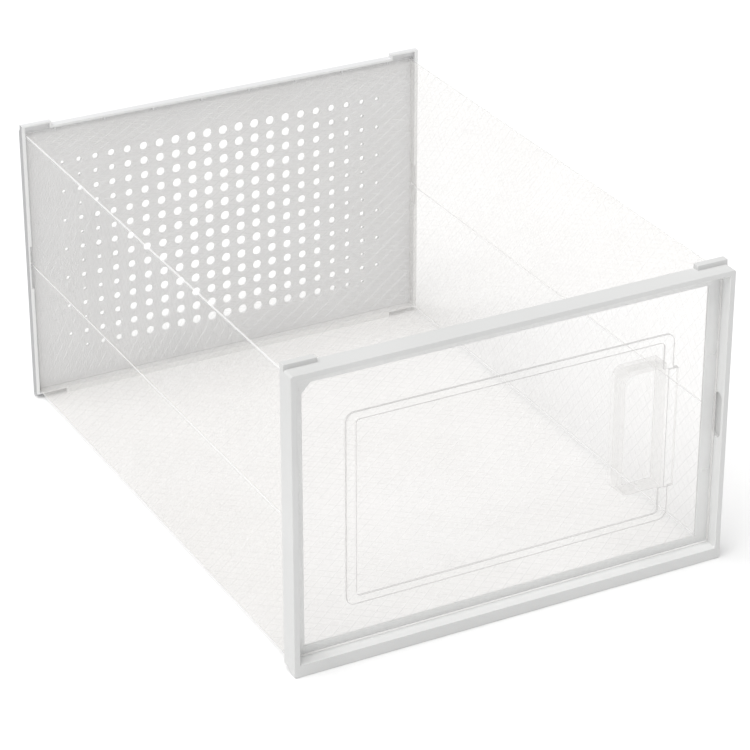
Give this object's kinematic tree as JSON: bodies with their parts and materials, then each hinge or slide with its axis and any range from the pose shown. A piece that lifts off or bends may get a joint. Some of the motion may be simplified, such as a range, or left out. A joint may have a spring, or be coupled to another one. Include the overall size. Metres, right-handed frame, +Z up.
{
  "type": "shoe box",
  "caption": "Foldable, stackable shoe box: moulded end frames, a clear side-hinged front door with a recessed finger pull, a perforated back panel and a clear creased sleeve.",
  "frame": {"origin": "on the ground, under the middle of the box", "axes": "+X to the right seen from the door, +Y from the door to the perforated back, +Z up"},
  "size_m": [0.25, 0.34, 0.1707],
  "materials": {
    "front_plastic": "white moulded plastic, satin",
    "back_plastic": "white moulded plastic, fine matt grain",
    "clear_door": "clear moulded plastic, polished",
    "clear_sheet": "clear sheet with a fine embossed diamond pattern"
  },
  "bodies": {
    "sleeve_base": {"sleeve_bottom": "clear_sheet"},
    "right_lower": {"sleeve_right_lower": "clear_sheet"},
    "right_upper": {"sleeve_right_upper": "clear_sheet"},
    "top": {"sleeve_top": "clear_sheet"},
    "left_lower": {"sleeve_left_lower": "clear_sheet"},
    "left_upper": {"sleeve_left_upper": "clear_sheet"},
    "front_frame": {"front_frame": "front_plastic"},
    "door": {"door": "clear_door"},
    "back_frame": {"back_rim": "back_plastic", "back_panel": "back_plastic"}
  },
  "joints": [
    {"name": "sleeve_fold", "type": "hinge", "parent": "sleeve_base", "child": "right_lower", "pos_m": [0.1217, 0, 0.00505], "axis": [0, -1, 0], "range_deg": [0, 88]},
    {"name": "right_crease", "type": "hinge", "parent": "right_lower", "child": "right_upper", "pos_m": [0.12265, 0, 0.0843], "axis": [0, 1, 0], "range_deg": [0, 176]},
    {"name": "top_crease", "type": "hinge", "parent": "right_upper", "child": "top", "pos_m": [0.1217, 0, 0.16355], "axis": [0, -1, 0], "range_deg": [0, 88]},
    {"name": "left_fold", "type": "hinge", "parent": "sleeve_base", "child": "left_lower", "pos_m": [-0.1217, 0, 0.00505], "axis": [0, 1, 0], "range_deg": [0, 88]},
    {"name": "left_crease", "type": "hinge", "parent": "left_lower", "child": "left_upper", "pos_m": [-0.12265, 0, 0.0843], "axis": [0, -1, 0], "range_deg": [0, 176]},
    {"name": "front_frame_pull", "type": "slide", "parent": "sleeve_base", "child": "front_frame", "axis": [0, -1, 0], "range_m": [0, 0.05]},
    {"name": "back_frame_pull", "type": "slide", "parent": "sleeve_base", "child": "back_frame", "axis": [0, 1, 0], "range_m": [0, 0.05]},
    {"name": "door_hinge", "type": "hinge", "parent": "front_frame", "child": "door", "pos_m": [-0.12, -0.1628, 0.084], "axis": [0, 0, -1], "range_deg": [0, 95]}
  ],
  "couplings": [
    {"joint": "right_crease", "follows": "sleeve_fold", "ratio": 2},
    {"joint": "top_crease", "follows": "sleeve_fold", "ratio": 1},
    {"joint": "left_fold", "follows": "sleeve_fold", "ratio": 1},
    {"joint": "left_crease", "follows": "sleeve_fold", "ratio": 2},
    {"joint": "front_frame_pull", "follows": "sleeve_fold", "m_per_rad": 0.03},
    {"joint": "back_frame_pull", "follows": "sleeve_fold", "m_per_rad": 0.03}
  ]
}
